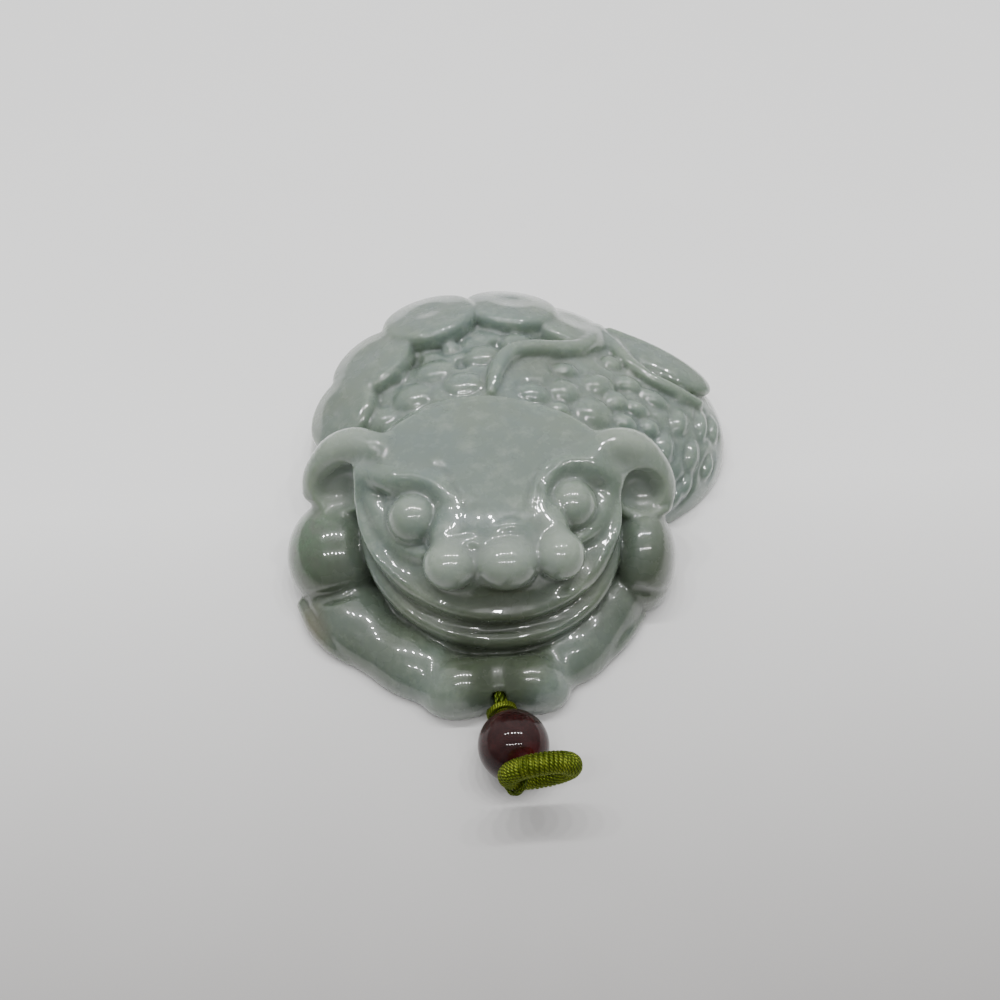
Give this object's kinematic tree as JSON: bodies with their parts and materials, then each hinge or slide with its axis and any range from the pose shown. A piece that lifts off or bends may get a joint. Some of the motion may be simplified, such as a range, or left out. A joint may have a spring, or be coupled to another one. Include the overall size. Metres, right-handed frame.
{
  "type": "jade toad pendant",
  "caption": "Flat-backed jade carving of a crouching toad with coin discs and warts, hung from green silk thread through a dark stone bead to a thread-wound eye.",
  "frame": {"origin": "On the flat underside, below the middle of the back of the carving: the pendant lies on XY with Z up.", "axes": "+X is the toad's left-to-right as the viewer sees it from the front, +Y runs from the cord end and the head to the rump, +Z is out of the carved side, square to the flat underside."},
  "size_m": [0.0533, 0.0701, 0.017],
  "materials": {
    "jade": "polished",
    "silk": "satin",
    "bead_stone": "polished"
  },
  "bodies": {
    "root": {"toad_carving": "jade", "hanging_thread": "silk", "neck_binding": "silk", "bead": "bead_stone", "wound_eye": "silk"}
  },
  "joints": []
}
